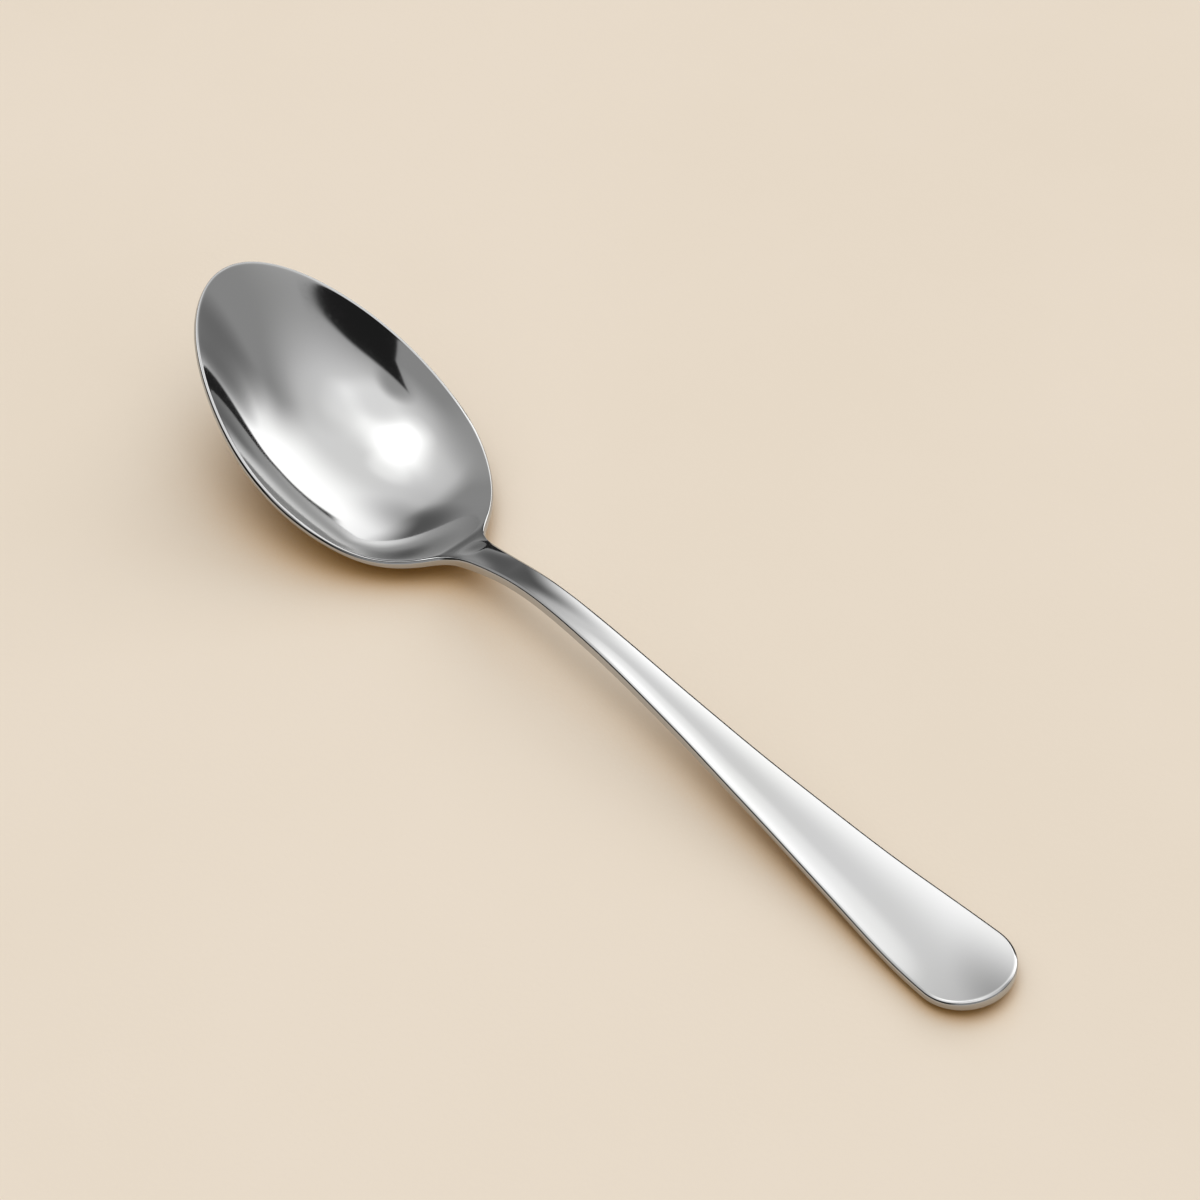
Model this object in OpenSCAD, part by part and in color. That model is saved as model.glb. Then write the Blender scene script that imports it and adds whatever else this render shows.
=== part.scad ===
// Teaspoon pressed from one blank of polished steel.
// The bowl and the handle are its two zones. They meet on one plane across the neck.
// X runs from the tip of the bowl to the end of the handle, Z is up, and the spoon lies on Z = 0.

/* [Spoon] */
// Overall length, from the tip of the bowl to the end of the handle
spoon_length = 140; // [128:1:154]
// Highest point of the spoon at rest, the tip of the bowl
spoon_height = 20; // [18:0.5:22]

/* [Bowl] */
// Length of the bowl, from its tip to its heel
bowl_length = 47; // [44:0.5:50]
// Width of the bowl over its rim
bowl_width = 30.2; // [27:0.2:33]
// Depth of the underside below the rim, at the tip end
depth_at_tip = 9.5; // [8.5:0.1:10.5]
// Depth of the underside below the rim, at the heel end
depth_at_heel = 4; // [3.4:0.1:4.6]
// Width of the flat rim between its outer edge and the basin
rim_width = 0.5; // [0.4:0.05:0.7]
// Length of the shallow tongue that ends the basin in the neck
tongue_length = 3.5; // [3:0.1:4]
// Half width of the tongue at the heel of the bowl
tongue_half_width = 3; // [2.6:0.1:3.4]

/* [Neck] */
// Distance from the tip to the plane where the bowl and the handle meet
neck_plane = 54; // [52:0.5:57]
// Size of the inside corner where the bowl turns into the neck
neck_corner = 3.3; // [2.8:0.1:3.8]
// Length over which the underside of the bowl runs out into the neck
heel_run = 12; // [10:0.5:14]
// Height of the short crown across the neck, where the tongue ends
neck_crown_height = 0.42; // [0.3:0.02:0.5]

/* [Handle] */
// Width of the handle at its widest, near the end
handle_width = 13; // [11:0.5:15]
// Length of the round end of the handle
end_round = 6.4; // [5.6:0.1:7.2]
// Height of the crown across the top face of the handle
crown_height = 0.45; // [0.3:0.05:0.6]

/* [Metal] */
// Height of the edge wall where it is tallest
wall_height = 1.4; // [1.2:0.05:1.8]
// Thickness of the metal at the bottom of the bowl
bottom_thickness = 1.1; // [0.9:0.05:1.4]
// Size of the broken corner along every edge
edge_break = 0.2; // [0.15:0.01:0.25]
// Height worn off the lowest point of the belly, so that it stands without rolling
foot_flat = 0.05; // [0.02:0.01:0.15]

/* [Hidden] */
// Height of the rim and the top face along the spoon, as shares of the spoon's height
profile_shares = [1.22, 0.99, 0.81, 0.655, 0.495, 0.37, 0.275, 0.165, 0.232, 0.36, 0.41, 0.405,
    0.38, 0.335, 0.295, 0.245, 0.21, 0.17, 0.135, 0.11, 0.105, 0.13, 0.17];
// Fullness of the bowl's outline from the tip to the heel, as shares of an ellipse
fullness_shares = [0.63, 0.91, 0.89, 0.968, 1, 1.05, 0.94, 0];
// Half width of the handle along the spoon, as shares of the widest half width
handle_shares = [0.31, 0.31, 0.31, 0.31, 0.31, 0.31, 0.31, 0.3, 0.29, 0.265, 0.28, 0.305,
    0.33, 0.375, 0.43, 0.505, 0.59, 0.685, 0.785, 0.92, 1, 1, 0.97];
// Height of the edge wall along the spoon, as shares of the tallest wall
wall_shares = [0.5, 0.5, 0.5, 0.5, 0.5, 0.5, 0.55, 0.6, 1, 0.93, 0.96, 0.99,
    0.98, 0.93, 0.88, 0.8, 0.7, 0.69, 0.72, 0.74, 0.76, 0.8, 0.8];
// How steeply the basin falls from the rim: gently at the tip, steeply along the sides, gently at the heel
tip_steep_share = 0.65;
side_steep_share = 1.3;
heel_steep_share = 0.8;
// Where along the bowl the sides reach full steepness, and where the heel starts and ends to ease it
side_from_share = 0.47;
heel_from_share = 0.77;
heel_to_share = 0.98;
// Roundness of the underside along the rim
underside_round_share = 0.03;
// Roundness of the underside where it runs out into the neck
runout_round_share = 0.15;

around = 96;
basin_rings = 12;
band_rings = 4;
under_rings = 14;
sections = 56;
side_points = 6;
cut_steps = 4;

bowl_half = bowl_width / 2;
handle_half = handle_width / 2;
basin_end = bowl_length + tongue_length;
basin_half = bowl_half - rim_width;
basin_length = bowl_length - rim_width;
round_start = spoon_length - end_round;
centre_x = bowl_length / 2;
shift_x = spoon_length / 2;

// Smooth curve through a row of evenly spaced controls, t from 0 to 1
function curve(c, t) =
    let(n = len(c) - 3, s = min(max(t, 0), 1) * n, i = min(floor(s), n - 1), f = s - i)
    (pow(1 - f, 3) * c[i]
        + (3 * pow(f, 3) - 6 * pow(f, 2) + 4) * c[i + 1]
        + (3 * f + 3 * pow(f, 2) - 3 * pow(f, 3) + 1) * c[i + 2]
        + pow(f, 3) * c[i + 3]) / 6;
// The larger of two squares, blended over a corner of size k
function blend(a, b, k) = (a + b + sqrt(pow(a - b, 2) + 4 * pow(k, 4))) / 2;
function ease(t) = let(s = min(max(t, 0), 1)) s * s * (3 - 2 * s);

// Height of the rim and of the edge of the top face
function edge_z(x) = spoon_height * curve(profile_shares, x / spoon_length);
function wall_z(x) = wall_height * curve(wall_shares, x / spoon_length);
// Squared half width of an egg of the given length and half width
function egg(x, long, half) =
    let(u = x / long) 4 * u * (1 - u) * pow(half, 2) * curve(fullness_shares, u);
function handle_w(x) = handle_half * curve(handle_shares, x / spoon_length);
// Half width of the whole outline
function half_w(x) =
    let(s = ease(x / centre_x))
    x < round_start
    ? sqrt(max(0, blend(egg(x, bowl_length, bowl_half), pow(handle_w(x), 2) * s, neck_corner * s)))
    : handle_w(x) * sqrt(max(0, 1 - pow((x - round_start) / end_round, 2)));
// Squared half width of the basin, with its tongue
function tongue(x) = pow(tongue_half_width, 2) * (basin_end - x) / tongue_length;
function basin_w2(x) =
    x > bowl_length
    ? min(tongue(x), blend(egg(x - rim_width, basin_length, basin_half), tongue(x), tongue_half_width / 2))
    : blend(egg(x - rim_width, basin_length, basin_half), tongue(x) * ease((x - rim_width) / centre_x),
        tongue_half_width / 2 * ease((x - rim_width) / centre_x));
function basin_w(x) = sqrt(max(0, basin_w2(x)));

function deepen(g, x) =
    let(u = x / bowl_length,
        s = tip_steep_share + (side_steep_share - tip_steep_share) * ease(u / side_from_share)
            - (side_steep_share - heel_steep_share)
                * ease((u - heel_from_share) / (heel_to_share - heel_from_share)))
    s * g + (1 - s) * g * g;
function depth_at(x) =
    depth_at_tip + (depth_at_heel - depth_at_tip) * min(max(x / bowl_length, 0), 1);
// Top face: crowned along the handle, hollowed by the basin in the bowl
function crown_at(x, y) =
    let(w = max(half_w(min(x, round_start)), rim_width))
    (crown_height * ease((x - basin_end) / heel_run) * sqrt(w / handle_half)
        + neck_crown_height * ease((x - bowl_length) / tongue_length)
            * (1 - ease((x - basin_end) / heel_run * 2)))
    * (1 - pow(y / w, 2));
function top_z(x, y) =
    let(g = max(0, basin_w2(x) - y * y) / pow(bowl_half, 2), thin = bottom_thickness - wall_z(x))
    edge_z(x) + max(0, crown_at(x, y)) - (depth_at(x) - thin * min(1, g)) * deepen(g, x);
// Underside: the bowl's belly, running out into the neck
function belly_z(x, y) =
    let(g = (egg(x, bowl_length, bowl_half) - y * y) / pow(bowl_half, 2),
        r = underside_round_share + runout_round_share * ease((x - bowl_length + heel_run) / heel_run))
    edge_z(x) - wall_z(x) - depth_at(x) * deepen((g + sqrt(g * g + r * r)) / 2, x);

// The lowest point of the belly, worn flat by foot_flat, is set on the table
lowest = foot_flat + min([for (k = [0 : 60]) belly_z(bowl_length * (0.4 + 0.5 * k / 60), 0)]);
function under_z(x, y) = max(belly_z(x, y), lowest);
function at(x, y, z) = [x - shift_x, y, z - lowest];

// Bowl: rings of the same number of points, from the middle of the basin over the rim to the underside
cut_angle = 180 - cut_steps * 360 / around;
cut_t = (1 - cos(cut_angle)) / 2;
function ring_angle(k) = -180 + 360 * k / around;
function basin_point(a) =
    let(x = rim_width + (basin_end - rim_width) * (1 - cos(a)) / 2)
    [x, sign(a) * basin_w(x)];
function outer_point(a) =
    let(b = abs(a), t = (1 - cos(b)) / 2,
        inner = rim_width + (basin_end - rim_width) * min(t, cut_t),
        last = rim_width + (basin_end - rim_width) * cut_t,
        x = b >= cut_angle ? neck_plane
            : inner - rim_width * (1 - t)
                + (neck_plane - last + rim_width * (1 - cut_t)) * pow(t / cut_t, 8))
    b >= cut_angle
    ? [neck_plane, sign(a) * half_w(neck_plane) * (180 - b) / (180 - cut_angle)]
    : [x, sign(a) * half_w(x)];
function inset_point(a, d) =
    let(p = outer_point(a), q = outer_point(a - 0.5), r = outer_point(a + 0.5),
        t = r - q, n = [t[1], -t[0]] / max(norm(t), 0.000001))
    abs(a) >= cut_angle - 0.01
    ? [p[0], p[1] * (1 - d / half_w(neck_plane))]
    : p + n * d;

bowl_rings = concat(
    [for (j = [1 : basin_rings]) [for (k = [0 : around - 1])
        let(p = basin_point(ring_angle(k)), s = sin(90 * j / basin_rings),
            x = centre_x + (p[0] - centre_x) * s, y = p[1] * s) at(x, y, top_z(x, y))]],
    [for (j = [1 : band_rings]) [for (k = [0 : around - 1])
        let(p = basin_point(ring_angle(k)), o = inset_point(ring_angle(k), edge_break),
            x = p[0] + (o[0] - p[0]) * j / band_rings, y = p[1] + (o[1] - p[1]) * j / band_rings)
        at(x, y, top_z(x, y))]],
    [[for (k = [0 : around - 1]) let(o = outer_point(ring_angle(k))) at(o[0], o[1], edge_z(o[0]) - edge_break)]],
    [[for (k = [0 : around - 1]) let(o = outer_point(ring_angle(k)))
        at(o[0], o[1], under_z(o[0], o[1]) + edge_break)]],
    [for (j = [0 : under_rings - 1]) [for (k = [0 : around - 1])
        let(o = inset_point(ring_angle(k), edge_break), s = cos(90 * j / under_rings),
            x = centre_x + (o[0] - centre_x) * s, y = o[1] * s) at(x, y, under_z(x, y))]]);

module ring_solid(rings, first, last) {
    n = len(rings[0]);
    m = len(rings);
    points = concat([for (r = rings) each r], [first, last]);
    faces = concat(
        [for (k = [0 : n - 1]) [n * m, k, (k + 1) % n]],
        [for (j = [0 : m - 2]) for (k = [0 : n - 1]) [j * n + k, (j + 1) * n + k, (j + 1) * n + (k + 1) % n]],
        [for (j = [0 : m - 2]) for (k = [0 : n - 1]) [j * n + k, (j + 1) * n + (k + 1) % n, j * n + (k + 1) % n]],
        [for (k = [0 : n - 1]) [n * m + 1, (m - 1) * n + (k + 1) % n, (m - 1) * n + k]]);
    polyhedron(points = points, faces = faces, convexity = 6);
}

module bowl() {
    color([0.78, 0.79, 0.8])
    ring_solid(bowl_rings,
        at(centre_x, 0, top_z(centre_x, 0)),
        at(centre_x, 0, under_z(centre_x, 0)));
}

// Handle: closed sections along its length, the same number of points in each
end_sections = 12;
end_angle = 86;
stations = concat(
    [for (k = [0 : sections - end_sections])
        let(x = neck_plane + (round_start - neck_plane) * k / (sections - end_sections)) [x, half_w(x)]],
    [for (k = [1 : end_sections])
        let(a = end_angle * k / end_sections, x = round_start + end_round * sin(a) / sin(end_angle))
        [x, handle_w(x) * cos(a)]]);
function section(x, w) =
    let(c = min(edge_break, w / 3), top = edge_z(x), low = under_z(x, w))
    concat(
        [for (k = [-side_points : side_points]) let(y = (w - c) * k / side_points) at(x, y, top_z(x, y))],
        [at(x, w, top - c), at(x, w, low + c)],
        [for (k = [-side_points : side_points]) let(y = -(w - c) * k / side_points) at(x, y, under_z(x, y))],
        [at(x, -w, low + c), at(x, -w, top - c)]);
handle_sections = [for (s = stations) section(s[0], s[1])];

module handle() {
    n = len(handle_sections[0]);
    m = len(handle_sections);
    s = side_points;
    cap = concat(
        [for (i = [0 : 2 * s - 1]) [i, i + 1, 4 * s + 2 - i]],
        [for (i = [0 : 2 * s - 1]) [i, 4 * s + 2 - i, 4 * s + 3 - i]],
        [[2 * s, 2 * s + 1, 2 * s + 2], [2 * s, 2 * s + 2, 2 * s + 3]],
        [[0, 4 * s + 3, 4 * s + 4], [0, 4 * s + 4, 4 * s + 5]]);
    color([0.78, 0.79, 0.8])
    polyhedron(
        points = [for (s = handle_sections) each s],
        faces = concat(
            [for (c = cap) c],
            [for (j = [0 : m - 2]) for (k = [0 : n - 1]) [j * n + k, (j + 1) * n + k, (j + 1) * n + (k + 1) % n]],
            [for (j = [0 : m - 2]) for (k = [0 : n - 1]) [j * n + k, (j + 1) * n + (k + 1) % n, j * n + (k + 1) % n]],
            [for (c = cap) [(m - 1) * n + c[2], (m - 1) * n + c[1], (m - 1) * n + c[0]]]),
        convexity = 6);
}

bowl();
handle();
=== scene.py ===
# %% [markdown]
# # A polished steel teaspoon
# A teaspoon is pressed and forged from one steel blank, then polished until it mirrors the room.
# Its whole look is shape plus reflections, so this lesson models the surfaces very smoothly
# and then lights them with a few large, plain panels.

# %% Frame and tools
import math

import bmesh
import bpy
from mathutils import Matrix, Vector


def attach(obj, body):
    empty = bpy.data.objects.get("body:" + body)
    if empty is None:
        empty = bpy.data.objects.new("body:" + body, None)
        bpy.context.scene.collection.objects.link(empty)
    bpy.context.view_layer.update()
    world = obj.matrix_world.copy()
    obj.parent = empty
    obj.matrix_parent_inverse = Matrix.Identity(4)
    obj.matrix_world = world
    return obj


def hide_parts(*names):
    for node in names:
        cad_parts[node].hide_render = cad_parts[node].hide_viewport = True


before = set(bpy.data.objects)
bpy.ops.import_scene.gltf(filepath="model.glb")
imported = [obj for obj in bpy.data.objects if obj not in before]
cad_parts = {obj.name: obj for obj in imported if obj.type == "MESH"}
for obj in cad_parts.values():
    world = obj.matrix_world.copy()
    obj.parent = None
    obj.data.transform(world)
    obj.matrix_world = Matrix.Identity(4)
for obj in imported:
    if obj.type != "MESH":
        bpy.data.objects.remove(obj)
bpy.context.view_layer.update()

# %% [markdown]
# ## The spoon in numbers
# The same few sizes as the construction drawing describe every surface: how long, how wide and
# how high the spoon is, and how deep the bowl goes. The rows of shares are the controls of
# smooth curves: the height of the top edge, the fullness of the bowl's outline, the width of the
# handle and the height of the wall along the edge.

# %% Sizes in millimetres
LENGTH, HEIGHT = 140.0, 20.0
BOWL_LENGTH, BOWL_HALF = 47.0, 15.1
DEPTH_TIP, DEPTH_HEEL = 9.5, 4.0
RIM, TONGUE, TONGUE_HALF = 0.5, 3.5, 3.0
NECK_PLANE, NECK_CORNER, HEEL_RUN = 54.0, 3.3, 12.0
HANDLE_HALF, END_ROUND, CROWN, NECK_CROWN = 6.5, 6.4, 0.45, 0.42
WALL, BOTTOM, FOOT_FLAT = 1.4, 1.1, 0.05
BASIN_END = BOWL_LENGTH + TONGUE
CENTRE = BOWL_LENGTH / 2
ROUND_START = LENGTH - END_ROUND
PROFILE = [1.22, 0.99, 0.81, 0.655, 0.495, 0.37, 0.275, 0.165, 0.232, 0.36, 0.41, 0.405,
           0.38, 0.335, 0.295, 0.245, 0.21, 0.17, 0.135, 0.11, 0.105, 0.13, 0.17]
FULLNESS = [0.63, 0.91, 0.89, 0.968, 1, 1.05, 0.94, 0]
HANDLE = [0.31, 0.31, 0.31, 0.31, 0.31, 0.31, 0.31, 0.3, 0.29, 0.265, 0.28, 0.305,
          0.33, 0.375, 0.43, 0.505, 0.59, 0.685, 0.785, 0.92, 1, 1, 0.97]
EDGE_WALL = [0.5, 0.5, 0.5, 0.5, 0.5, 0.5, 0.55, 0.6, 1, 0.93, 0.96, 0.99,
             0.98, 0.93, 0.88, 0.8, 0.7, 0.69, 0.72, 0.74, 0.76, 0.8, 0.8]
print("spoon", LENGTH, "mm long, bowl", BOWL_LENGTH, "by", 2 * BOWL_HALF, "mm")

# %% [markdown]
# ## Curves that bend smoothly
# A mirror shows every kink, so the profile and the outlines are cubic splines: their slope and
# their bend both change without a jump. `ease` is a smooth step from 0 to 1. `blend` is a soft
# maximum. It rounds the corner where the bowl's outline turns into the neck, as the die does on
# the real spoon.

# %% Smooth curves
def spline(controls, t):
    spans = len(controls) - 3
    s = min(max(t, 0.0), 1.0) * spans
    i = min(int(s), spans - 1)
    f = s - i
    a, b, c, d = controls[i:i + 4]
    return ((1 - f) ** 3 * a + (3 * f ** 3 - 6 * f ** 2 + 4) * b
            + (3 * f + 3 * f ** 2 - 3 * f ** 3 + 1) * c + f ** 3 * d) / 6


def ease(t):
    s = min(max(t, 0.0), 1.0)
    return s * s * (3 - 2 * s)


def blend(a, b, corner):
    return (a + b + math.sqrt((a - b) ** 2 + 4 * corner ** 4)) / 2


print("smooth step at a quarter, half and the end:", ease(0.25), ease(0.5), ease(1.0))


# %% Outline and profile
def edge_z(x):
    return HEIGHT * spline(PROFILE, x / LENGTH)


def wall_z(x):
    return WALL * spline(EDGE_WALL, x / LENGTH)


def egg(x, length, half):
    u = x / length
    return 4 * u * (1 - u) * half ** 2 * spline(FULLNESS, u)


def handle_width(x):
    return HANDLE_HALF * spline(HANDLE, x / LENGTH)


def half_width(x):
    if x > ROUND_START:
        return handle_width(x) * math.sqrt(max(0.0, 1 - ((x - ROUND_START) / END_ROUND) ** 2))
    s = ease(x / CENTRE)
    bowl_square = egg(x, BOWL_LENGTH, BOWL_HALF)
    return math.sqrt(max(0.0, blend(bowl_square, handle_width(x) ** 2 * s, NECK_CORNER * s)))


def tongue(x):
    return TONGUE_HALF ** 2 * (BASIN_END - x) / TONGUE


def basin_square(x):
    inner = egg(x - RIM, BOWL_LENGTH - RIM, BOWL_HALF - RIM)
    if x > BOWL_LENGTH:
        return min(tongue(x), blend(inner, tongue(x), TONGUE_HALF / 2))
    s = ease((x - RIM) / CENTRE)
    return blend(inner, tongue(x) * s, TONGUE_HALF / 2 * s)


print("half width at the bowl, neck and end:",
      [round(half_width(x), 2) for x in (25, 54, 130)])

# %% [markdown]
# ## Top face and underside
# The basin is a hollow whose depth depends on how far a point lies inside the basin's outline:
# steep near the rim, nearly flat at the bottom. The belly follows it a sheet's thickness below.
# Behind the basin the top is crowned a little, more so at the neck. The lowest spot of the belly
# is worn flat by a twentieth of a millimetre, which is what the spoon stands on.

# %% Heights of the two faces
LIP_SOFT, FOOT_SOFT = 0.006, 0.03


def soft(g, r):
    return (g + math.sqrt(g * g + r * r)) / 2


def deepen(g, x):
    part = x / BOWL_LENGTH
    steep = 0.65 + 0.65 * ease(part / 0.47) - 0.5 * ease((part - 0.77) / 0.21)
    return steep * g + (1 - steep) * g * g


def depth(x):
    return DEPTH_TIP + (DEPTH_HEEL - DEPTH_TIP) * min(max(x / BOWL_LENGTH, 0.0), 1.0)


def crown(x, y):
    width = max(half_width(min(x, ROUND_START)), RIM)
    past = (x - BASIN_END) / HEEL_RUN
    rise = CROWN * ease(past) * math.sqrt(width / HANDLE_HALF)
    rise += NECK_CROWN * ease((x - BOWL_LENGTH) / TONGUE) * (1 - ease(past * 2))
    return rise * max(0.0, 1 - (y / width) ** 2)


def top_z(x, y):
    g = soft((basin_square(x) - y * y) / BOWL_HALF ** 2, LIP_SOFT)
    sunk = depth(x) - (BOTTOM - wall_z(x)) * min(1.0, g)
    return edge_z(x) + crown(x, y) - sunk * deepen(g, x)


def belly_z(x, y):
    g = (egg(x, BOWL_LENGTH, BOWL_HALF) - y * y) / BOWL_HALF ** 2
    r = 0.03 + 0.15 * ease((x - BOWL_LENGTH + HEEL_RUN) / HEEL_RUN)
    return edge_z(x) - wall_z(x) - depth(x) * deepen(soft(g, r), x)


TABLE = FOOT_FLAT + min(belly_z(BOWL_LENGTH * (0.4 + 0.5 * k / 60), 0) for k in range(61))
print("lowest point of the belly before it is set on the table:", round(TABLE, 3), "mm")


def under_z(x, y):
    return TABLE + soft(belly_z(x, y) - TABLE, FOOT_SOFT)


def place(x, y, z):
    return Vector(((x - LENGTH / 2) / 1000, y / 1000, (z - TABLE) / 1000))


# %% [markdown]
# ## Modelling with a bent grid
# Each piece starts as a flat grid from `create_grid`. One direction of the grid runs around the
# piece's outline, the other from the middle of the top face, over the edge, to the middle of the
# underside. Bending the grid keeps the rows of faces parallel to the rim, so the narrow
# roundings along the edges stay even. A subdivided cage would be quicker to make, but its rows
# would not follow the rim closely enough for a mirror finish. Rows that end on a flat cut crowd
# together there, so they are merged, their faces are deleted and `holes_fill` closes the end.

# %% Bend a grid into a closed skin
MERGE, BY_END, CROWDED, ON_END = 1e-7, 2e-5, 4e-6, 3e-6    # metres
SHARP, NEARBY = 1.0, 0.2    # radians; degrees around the outline


def bent_grid(name, around, rings, where, flat_end=None):
    mesh = bpy.data.meshes.new(name)
    bm = bmesh.new()
    bmesh.ops.create_grid(bm, x_segments=around, y_segments=rings, size=0.5)
    for vert in bm.verts:
        vert.co = where(vert.co.x + 0.5, vert.co.y + 0.5)
    bmesh.ops.remove_doubles(bm, verts=bm.verts, dist=MERGE)
    bmesh.ops.dissolve_degenerate(bm, edges=bm.edges, dist=MERGE)
    if flat_end is not None:
        near = [vert for vert in bm.verts if vert.co.x - flat_end < BY_END]
        bmesh.ops.remove_doubles(bm, verts=near, dist=CROWDED)
        flat = [face for face in bm.faces if all(v.co.x - flat_end < ON_END for v in face.verts)]
        bmesh.ops.delete(bm, geom=flat, context="FACES")
        bmesh.ops.holes_fill(bm, edges=[edge for edge in bm.edges if edge.is_boundary])
    bmesh.ops.recalc_face_normals(bm, faces=bm.faces)
    for face in bm.faces:
        face.smooth = True
    for edge in bm.edges:
        edge.smooth = edge.calc_face_angle(0.0) < SHARP
    bm.to_mesh(mesh)
    bm.free()
    piece = bpy.data.objects.new(name, mesh)
    bpy.context.collection.objects.link(piece)
    print(name, "has", len(mesh.polygons), "faces")
    return piece


def slope(outline, a):
    p, q = outline(a - NEARBY), outline(a + NEARBY)
    dx, dy = q[0] - p[0], q[1] - p[1]
    size = max(math.hypot(dx, dy), 1e-9)
    return dy / size, -dx / size


def share(v, first, last):
    return min(max((v - first) / (last - first), 0.0), 1.0)


def quarter(part):
    return math.radians(90 * part)


print("share of a band that runs from 0 to 4, at 1:", share(1, 0, 4))

# %% [markdown]
# ## The bowl
# Rings of the grid: first the basin, then the flat rim, the edge, the short wall, the rounded
# bottom corner and the belly. The heel's end is cut flat where the handle takes over.
# Buffing leaves an edge of a few narrow facets, and each facet mirrors its own strip of the room:
# those strips are the fine white and black lines around a real spoon. A Bevel modifier makes one
# even rounding, so here the edge is a path of short turns (length, tilt that it ends at, steps),
# with one path for the tip, one for the heel and one for the handle, blended along the spoon.

# %% Bowl outline, by angle around the basin
CUT_ANGLE = 165.0
CUT_SHARE = (1 - math.cos(math.radians(CUT_ANGLE))) / 2
LATE = 8


def sign(a):
    return -1.0 if a < 0 else 1.0


def basin_point(a):
    x = RIM + (BASIN_END - RIM) * (1 - math.cos(math.radians(a))) / 2
    return x, sign(a) * math.sqrt(max(0.0, basin_square(x)))


def bowl_outline(a):
    b = abs(a)
    if b >= CUT_ANGLE:
        return NECK_PLANE, sign(a) * half_width(NECK_PLANE) * (180 - b) / (180 - CUT_ANGLE)
    t = (1 - math.cos(math.radians(b))) / 2
    last = RIM + (BASIN_END - RIM) * CUT_SHARE
    x = (RIM + (BASIN_END - RIM) * t - RIM * (1 - t)
         + (NECK_PLANE - last + RIM * (1 - CUT_SHARE)) * (t / CUT_SHARE) ** LATE)
    return x, sign(a) * half_width(x)


print("outline a quarter of the way round:", [round(value, 2) for value in bowl_outline(90)])

# %% Edges in narrow facets
ROUND = 0.16
EDGE_STEPS, HEEL_BLEND, NECK_BLEND = 24, 14, 5


def edge_path(*turns):
    path, tilt = [(0.0, 0.0)], 0.0
    for length, end, steps in turns:
        for k in range(steps):
            t = math.radians(tilt + (end - tilt) * (k + 0.5) / steps)
            (across, down), go = path[-1], length / steps
            path.append((across + go * math.cos(t), down + go * math.sin(t)))
        tilt = end
    return [(path[-1][0] - across, down) for across, down in path]


TIP_EDGE = edge_path((0.11, 52, 6), (0.42, 66, 12), (0.06, 90, 6))
HEEL_EDGE = edge_path((0.03, 8, 2), (0.24, 20, 8), (0.04, 52, 3), (0.32, 66, 8), (0.06, 90, 3))
HANDLE_EDGE = edge_path((0.07, 23, 3), (0.22, 27, 7), (0.05, 52, 3), (0.22, 66, 7), (0.08, 90, 4))


def over_edge(s, x):
    i = min(int(s * EDGE_STEPS), EDGE_STEPS - 1)
    heel, neck = ease((x - CENTRE) / HEEL_BLEND), ease((x - BOWL_LENGTH) / NECK_BLEND)
    steps = [[(a * (1 - heel) + b * heel) * (1 - neck) + c * neck
              for a, b, c in zip(TIP_EDGE[k], HEEL_EDGE[k], HANDLE_EDGE[k])] for k in (i, i + 1)]
    return [a + (b - a) * (s * EDGE_STEPS - i) for a, b in zip(*steps)]


for name, path in (("tip", TIP_EDGE), ("heel", HEEL_EDGE), ("handle", HANDLE_EDGE)):
    print(name, "edge is", round(path[0][0], 2), "mm wide and", round(path[-1][1], 2), "mm high")

# %% The bowl's skin
BASIN_TO, FLAT_TO, EDGE_TO, CORNER_TO = 0.48, 0.56, 0.68, 0.72
BOWL_AROUND, BOWL_RINGS = 384, 200
SLACK = 1e-4


def bowl_edge(a, inset):
    x, y = bowl_outline(a)
    if abs(a) >= CUT_ANGLE - 0.01:
        return x, y * (1 - inset / half_width(NECK_PLANE))
    nx, ny = slope(bowl_outline, a)
    return x + nx * inset, y + ny * inset


def bowl_surface(u, v):
    a = -180 + 360 * u
    along = bowl_outline(a)[0]
    lip = over_edge(0.0, along)[0]
    if v < BASIN_TO:
        s = math.sin(quarter(share(v, 0, BASIN_TO)))
        x, y = basin_point(a)
        x, y = CENTRE + (x - CENTRE) * s, y * s
        return place(x, y, top_z(x, y))
    if v < FLAT_TO:
        s = ease(share(v, BASIN_TO, FLAT_TO))
        (x, y), (p, q) = basin_point(a), bowl_edge(a, lip)
        x, y = x + (p - x) * s, y + (q - y) * s
        return place(x, y, top_z(x, y))
    if v < EDGE_TO + SLACK:
        inset, down = over_edge(share(v, FLAT_TO, EDGE_TO), along)
        x, y = bowl_edge(a, inset)
        p, q = bowl_edge(a, lip)
        return place(x, y, top_z(p, q) - down)
    if v < CORNER_TO:
        t = quarter(share(v, EDGE_TO + 1 / BOWL_RINGS, CORNER_TO))
        x, y = bowl_edge(a, ROUND * (1 - math.cos(t)))
        p, q = bowl_edge(a, ROUND)
        return place(x, y, under_z(p, q) + ROUND * (1 - math.sin(t)))
    s = math.cos(quarter(share(v, CORNER_TO, 1)))
    x, y = bowl_edge(a, ROUND)
    x, y = CENTRE + (x - CENTRE) * s, y * s
    return place(x, y, under_z(x, y))


bowl = bent_grid("spoon_bowl", BOWL_AROUND, BOWL_RINGS, bowl_surface)

# %% [markdown]
# ## The handle
# The handle's grid closes onto the line along its middle. Its far end is a round cap, so the rings
# fan out there around the point where the rounding starts. A section swept along a curve would be
# the usual way, but this section widens, thins and flattens all the way along the arch.

# %% Handle outline, by angle around it
CAP_TO, SIDE_TO = 60, 172


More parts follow.
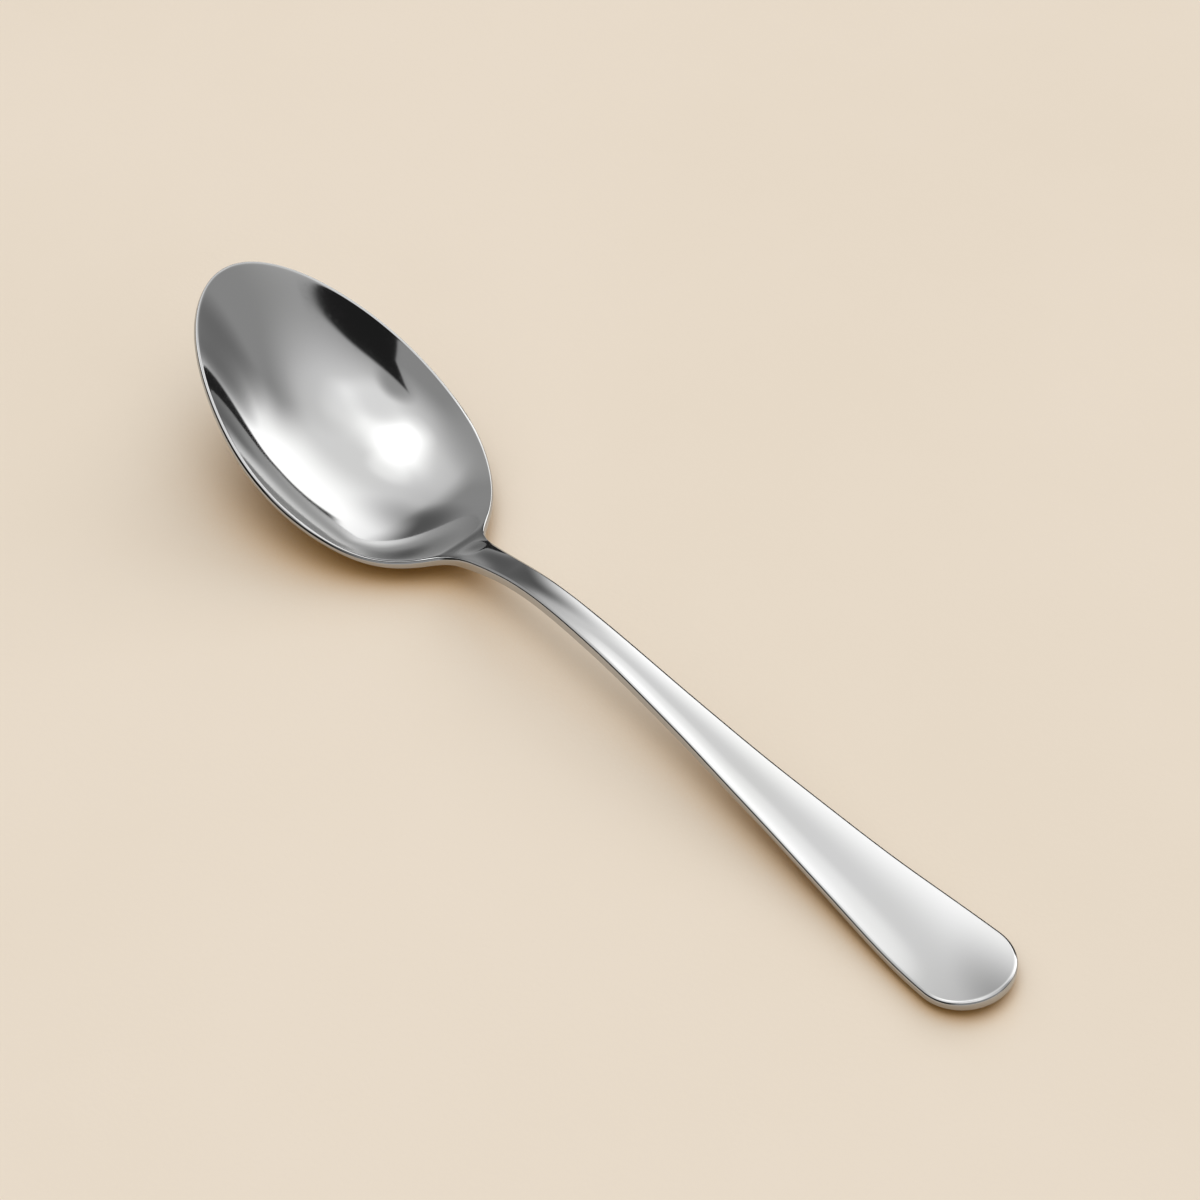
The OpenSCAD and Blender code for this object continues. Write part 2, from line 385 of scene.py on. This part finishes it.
def handle_outline(a):
    b = abs(a)
    if b < CAP_TO:
        t = quarter(b / CAP_TO)
        x = ROUND_START + END_ROUND * math.cos(t)
        return x, sign(a) * handle_width(x) * math.sin(t)
    if b < SIDE_TO:
        s = math.sin(quarter(share(b, CAP_TO, SIDE_TO)))
        x = ROUND_START + (NECK_PLANE - ROUND_START) * s
        return x, sign(a) * half_width(x)
    return NECK_PLANE, sign(a) * half_width(NECK_PLANE) * (180 - b) / (180 - SIDE_TO)


def handle_edge(a, inset):
    x, y = handle_outline(a)
    if abs(a) >= SIDE_TO - 0.1:
        return x, y * (1 - inset / half_width(NECK_PLANE))
    nx, ny = slope(handle_outline, a)
    return max(x - nx * inset, NECK_PLANE), y - ny * inset


print("outline at the end of the cap:", [round(value, 2) for value in handle_outline(CAP_TO)])

# %% The handle's skin
TOP_TO, TURN_TO, ROUND_TO = 0.34, 0.58, 0.66
HANDLE_AROUND, HANDLE_RINGS = 720, 100


def from_core(a, inset, s):
    x, y = handle_edge(a, inset)
    core = min(x, ROUND_START)
    return core + (x - core) * s, y * s


def handle_surface(u, v):
    a = -180 + 360 * u
    lip = over_edge(0.0, LENGTH)[0]
    if v < TOP_TO:
        x, y = from_core(a, lip, share(v, 0, TOP_TO))
        return place(x, y, top_z(x, y))
    if v < TURN_TO + SLACK:
        inset, down = over_edge(share(v, TOP_TO, TURN_TO), LENGTH)
        x, y = handle_edge(a, inset)
        p, q = handle_edge(a, lip)
        return place(x, y, top_z(p, q) - down)
    if v < ROUND_TO:
        t = quarter(share(v, TURN_TO + 1 / HANDLE_RINGS, ROUND_TO))
        x, y = handle_edge(a, ROUND * (1 - math.cos(t)))
        p, q = handle_edge(a, ROUND)
        return place(x, y, under_z(p, q) + ROUND * (1 - math.sin(t)))
    x, y = from_core(a, ROUND, 1 - share(v, ROUND_TO, 1))
    return place(x, y, under_z(x, y))


handle = bent_grid("spoon_handle", HANDLE_AROUND, HANDLE_RINGS, handle_surface,
                   flat_end=place(NECK_PLANE, 0, 0).x)

# %% [markdown]
# ## Shader helpers
# Materials and the studio are both small node graphs. A few short helpers keep them readable:
# `add` adds a node, `tune` sets the values on its sockets, `join` joins a value or another node's
# output to a socket, and the others are a step of arithmetic, a smooth step and a noise pattern.

# %% Node helpers
def add(tree, kind, **settings):
    node = tree.nodes.new(kind)
    for key, value in settings.items():
        setattr(node, key, value)
    return node


def join(tree, source, socket):
    if isinstance(source, bpy.types.NodeSocket):
        tree.links.new(source, socket)
    else:
        socket.default_value = source


def tune(node, **values):
    for name, value in values.items():
        node.inputs[name.replace("_", " ")].default_value = value


def math_node(tree, operation, a, b=0.0):
    node = add(tree, "ShaderNodeMath", operation=operation)
    join(tree, a, node.inputs[0])
    join(tree, b, node.inputs[1])
    return node.outputs[0]


def ramp(tree, value, low, high, bottom=0.0, top=1.0, kind="SMOOTHSTEP"):
    node = add(tree, "ShaderNodeMapRange", interpolation_type=kind)
    join(tree, value, node.inputs["Value"])
    tune(node, From_Min=low, From_Max=high, To_Min=bottom, To_Max=top)
    return node.outputs["Result"]


def noise(tree, where, scale, detail=2.0, roughness=0.5):
    node = add(tree, "ShaderNodeTexNoise")
    join(tree, where, node.inputs["Vector"])
    tune(node, Scale=scale, Detail=detail, Roughness=roughness)
    return node.outputs["Fac"]


helpers = (add, join, tune, math_node, ramp, noise)
print("node helpers:", ", ".join(helper.__name__ for helper in helpers))

# %% [markdown]
# ## Polished steel
# Stainless steel is a bare metal: it gets its colour from what it mirrors, so the base is a plain
# grey and Metallic is 1. A spoon is buffed on a wheel, which leaves hairlines along its length and
# faint waves a few millimetres wide, and handling leaves soft smears. Each shows only as a slight
# change in roughness or in the way the surface leans. A scan of scratches could do this too, but
# a noise pattern needs no picture and has no seam. The hairlines are one such pattern, stretched
# along the spoon by a Mapping node; heights in the Bump nodes are in metres.

# %% Polished steel
steel = bpy.data.materials.new("polished_steel")
steel.use_nodes = True
tree = steel.node_tree
shader = tree.nodes["Principled BSDF"]
tune(shader, Metallic=1.0)
where = add(tree, "ShaderNodeTexCoord").outputs["Object"]
smears = noise(tree, where, 55.0, 3.0)
along = add(tree, "ShaderNodeMapping")
join(tree, where, along.inputs["Vector"])
tune(along, Scale=(40.0, 2200.0, 2200.0))
hairs = noise(tree, along.outputs["Vector"], 1.0, 2.0)
rough = math_node(tree, "ADD", ramp(tree, smears, 0.3, 0.7, 0.055, 0.085),
                  ramp(tree, hairs, 0.55, 0.8, 0.0, 0.03))
join(tree, rough, shader.inputs["Roughness"])
tint = add(tree, "ShaderNodeMix", data_type="RGBA")
join(tree, ramp(tree, smears, 0.35, 0.75), tint.inputs["Factor"])
tune(tint, A=(0.465, 0.465, 0.465, 1), B=(0.455, 0.455, 0.45, 1))
join(tree, tint.outputs["Result"], shader.inputs["Base Color"])
wave = add(tree, "ShaderNodeBump")
tune(wave, Strength=1.0, Distance=8e-6)
join(tree, noise(tree, where, 130.0, 1.0), wave.inputs["Height"])
scratch = add(tree, "ShaderNodeBump")
tune(scratch, Strength=0.3, Distance=6e-7)
join(tree, hairs, scratch.inputs["Height"])
join(tree, wave.outputs["Normal"], scratch.inputs["Normal"])
join(tree, scratch.outputs["Normal"], shader.inputs["Normal"])
for piece, node in ((bowl, "bowl"), (handle, "handle")):
    piece.data.materials.append(steel)
    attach(piece, "root")
    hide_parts(node)
print("steel on", bowl.name, "and", handle.name)

# %% [markdown]
# ## The sheet it lies on
# A large sheet of beige paper: matt, and very slightly uneven in colour, as rag paper is. The
# shade under the spoon is painted into the paper's colour: an Ambient Occlusion node finds the
# shade, leaning to the side that the light comes from, and mixes in a dark orange-brown, a painted
# shadow.

# %% The sheet
FLOOR_HALF = 3
floor_mesh = bpy.data.meshes.new("floor")
bm = bmesh.new()
bmesh.ops.create_grid(bm, x_segments=1, y_segments=1, size=FLOOR_HALF)
bm.to_mesh(floor_mesh)
bm.free()
floor = bpy.data.objects.new("floor", floor_mesh)
bpy.context.collection.objects.link(floor)
print("floor of", 2 * FLOOR_HALF, "by", 2 * FLOOR_HALF, "m")

# %% Beige paper
LIGHT_SIDE = (-0.35, 0.50, 0.79)
SHADE_REACH = 0.05
paper = bpy.data.materials.new("beige_paper")
paper.use_nodes = True
tree = paper.node_tree
shader = tree.nodes["Principled BSDF"]
where = add(tree, "ShaderNodeTexCoord").outputs["Object"]
sheet = add(tree, "ShaderNodeMix", data_type="RGBA")
join(tree, ramp(tree, noise(tree, where, 9.0, 5.0, 0.6), 0.3, 0.7), sheet.inputs["Factor"])
tune(sheet, A=(0.83, 0.725, 0.595, 1), B=(0.85, 0.745, 0.62, 1))
lean = add(tree, "ShaderNodeCombineXYZ")
for socket, value in zip(lean.inputs, LIGHT_SIDE):
    socket.default_value = value
shade = add(tree, "ShaderNodeAmbientOcclusion", samples=8)
tune(shade, Distance=SHADE_REACH)
join(tree, lean.outputs["Vector"], shade.inputs["Normal"])
open_sky = ramp(tree, shade.outputs["AO"], 0.08, 0.80, kind="LINEAR")
# Painted shadow: where the paper is shaded, its colour is mixed towards a dark orange-brown.
painted_shade = add(tree, "ShaderNodeMix", data_type="RGBA")
join(tree, open_sky, painted_shade.inputs["Factor"])
tune(painted_shade, A=(0.74, 0.38, 0.07, 1))
join(tree, sheet.outputs["Result"], painted_shade.inputs["B"])
join(tree, painted_shade.outputs["Result"], shader.inputs["Base Color"])
tune(shader, Roughness=0.95, Specular_IOR_Level=0.1)
tooth = add(tree, "ShaderNodeBump")
tune(tooth, Strength=0.15, Distance=1e-4)
join(tree, noise(tree, where, 1500.0, 2.0), tooth.inputs["Height"])
join(tree, tooth.outputs["Normal"], shader.inputs["Normal"])
floor_mesh.materials.append(paper)
print(paper.name, "on the", floor.name)

# %% [markdown]
# ## The studio as a sky
# A mirror shows the whole room, so the room is drawn as a sky: grey walls that grow lighter
# towards the ceiling, soft lights overhead, a white screen beyond the spoon, dim corners past the
# bowl and the handle, the dark camera on its stand, and the dark room past the ends of the table.
# Every patch is set by its compass direction in degrees (0 towards the handle's end, 90 to the
# far side) and its height above the table. A lobe is a round patch with an inner and an outer
# radius, a screen is a rectangle, and `beyond` keeps what lies past a straight line through two
# directions. All of it is light, so the same sky also gives the soft shadow. Area lights could
# stand in for the panels, but a sky gives dark shapes as well, and a mirror needs both.

# %% Sky helpers
world = bpy.data.worlds.new("studio")
bpy.context.scene.world = world
world.use_nodes = True
tree = world.node_tree
look = add(tree, "ShaderNodeTexCoord").outputs["Generated"]


def heading(azimuth, elevation):
    a, e = math.radians(azimuth), math.radians(elevation)
    return Vector((math.cos(a) * math.cos(e), math.sin(a) * math.cos(e), math.sin(e)))


def towards(vector):
    node = add(tree, "ShaderNodeVectorMath", operation="DOT_PRODUCT")
    join(tree, look, node.inputs[0])
    node.inputs[1].default_value = vector
    return node.outputs["Value"]


def lobe(azimuth, elevation, inner, outer, top=1.0):
    return ramp(tree, towards(heading(azimuth, elevation)), math.cos(math.radians(outer)),
                math.cos(math.radians(inner)), 0.0, top)


def screen(azimuth, elevation, wide, high, soft_edge):
    middle, side = heading(azimuth, elevation), heading(azimuth - 90, 0)
    ahead = math_node(tree, "MAXIMUM", towards(middle), 0.001)
    mask = ramp(tree, towards(middle), 0.0, 0.01)
    for axis, half in ((side, wide), (side.cross(middle), high)):
        off = math_node(tree, "DIVIDE", math_node(tree, "ABSOLUTE", towards(axis)), ahead)
        inside = ramp(tree, off, half + soft_edge, half - soft_edge)
        mask = math_node(tree, "MULTIPLY", mask, inside)
    return mask


def beyond(first, second, soft_edge=0.008):
    return ramp(tree, towards(first.cross(second).normalized()), -soft_edge, soft_edge)


def pour(light, mask, level):
    node = add(tree, "ShaderNodeMix", data_type="FLOAT")
    join(tree, mask, node.inputs["Factor"])
    join(tree, light, node.inputs["A"])
    node.inputs["B"].default_value = level
    return node.outputs["Result"]


print("the near side lies at", [round(value, 2) for value in heading(270, 0)])

# %% The room's walls, lights and corners
height = towards(Vector((0, 0, 1)))
light = ramp(tree, height, 0.63, 1.0, 0.27, 0.80)
patches = (
    (lobe(0, 85, 0, 25), 1.12),                    # soft light straight above
    (lobe(105, 56, 6, 30), 0.75),                  # glow on the wall over the screen
    (lobe(144, 31, 4, 24), 0.095),                 # dim corner past the bowl
    (screen(103, 22, 0.47, 0.45, 0.34), 1.38),     # white screen on the far side
    (lobe(60, 16, 2, 20), 0.14),                   # dim corner past the handle
    (lobe(72, 9, 6, 17), 0.14),                    # its foot, in front of the screen
    (lobe(218, 35, 4, 28, 0.6), 0.36),             # near wall by the bowl
    (lobe(141, 67, 0, 9, 0.8), 1.05),              # small glow over the dim corner
    (lobe(235, 69, 0, 11, 0.6), 0.95),             # small glow on the near side
    (screen(192, 77, 0.23, 0.12, 0.15), 1.8),      # lamp panel under the ceiling
    (lobe(300, 74, 2, 18), 0.80),                  # ceiling over the camera
    (lobe(38, 68, 2, 20, 0.5), 0.60),              # ceiling over the handle
    (lobe(283, 54, 2, 14), 0.31),                  # shade around the camera
)
for mask, level in patches:
    light = pour(light, mask, level)
print(len(patches), "patches on the walls and the ceiling")

# %% The dark camera on its stand
stand = math_node(tree, "MAXIMUM", beyond(heading(285, 40), heading(283, 30)),
                  beyond(heading(270.3, 52.2), heading(285.3, 40)))
stand_limits = (
    ramp(tree, towards(Vector((0.127, 0, 1))), 0.806, 0.789),
    beyond(heading(342, 20), heading(342, 40)),
    ramp(tree, towards(heading(290, 10)), 0.1, 0.3),
    ramp(tree, height, 0.36, 0.46),
)
for limit in stand_limits:
    stand = math_node(tree, "MINIMUM", stand, limit)
light = pour(light, stand, 0.013)
print("stand cut out by", 2 + len(stand_limits), "soft edges")

# %% The dark room past the ends of the table
near_end = math_node(tree, "MULTIPLY", ramp(tree, height, 0.44, 0.34),
                     ramp(tree, towards(heading(245, 0)), 0.45, 0.75))
light = pour(light, near_end, 0.012)
slant = math_node(tree, "MINIMUM", beyond(heading(118, 20.5), heading(84, 9.5), 0.012),
                  beyond(heading(121, 10), heading(119, 30), 0.03))
far_end = math_node(tree, "MULTIPLY",
                    math_node(tree, "MAXIMUM", ramp(tree, height, 0.18, 0.155), slant),
                    ramp(tree, towards(heading(110, 0)), 0.0, 0.3))
light = pour(light, far_end, 0.015)
print("two dark ends: near, and far with a slanting edge")

# %% Light from the sky
sky = tree.nodes["Background"]
mix = add(tree, "ShaderNodeMix", data_type="RGBA")
join(tree, add(tree, "ShaderNodeLightPath").outputs["Is Camera Ray"], mix.inputs["Factor"])
join(tree, light, mix.inputs["A"])
tune(mix, B=(0.66, 0.58, 0.48, 1))
join(tree, mix.outputs["Result"], sky.inputs["Color"])
tune(sky, Strength=1.8)
print("sky of", len(tree.nodes), "nodes")

# %% [markdown]
# ## The camera
# The photograph was taken from beside the bowl, 47 degrees above the table, with a long lens, so
# that the two ends of the spoon look nearly equally large.

# %% Camera
AZIMUTH, ELEVATION, DISTANCE = -42.38, 47, 0.4520
TARGET = place(62.69, 8.88, 0)
lens = bpy.data.cameras.new("camera")
lens.sensor_width = 36
lens.lens = 3 * lens.sensor_width
back = heading(AZIMUTH, ELEVATION)
camera = bpy.data.objects.new("camera", lens)
bpy.context.collection.objects.link(camera)
camera.location = TARGET + back * DISTANCE
camera.rotation_euler = (-back).to_track_quat("-Z", "Y").to_euler()
bpy.context.scene.camera = camera
bpy.context.scene.view_settings.view_transform = "Standard"
print("camera", DISTANCE, "m away with a", lens.lens, "mm lens")
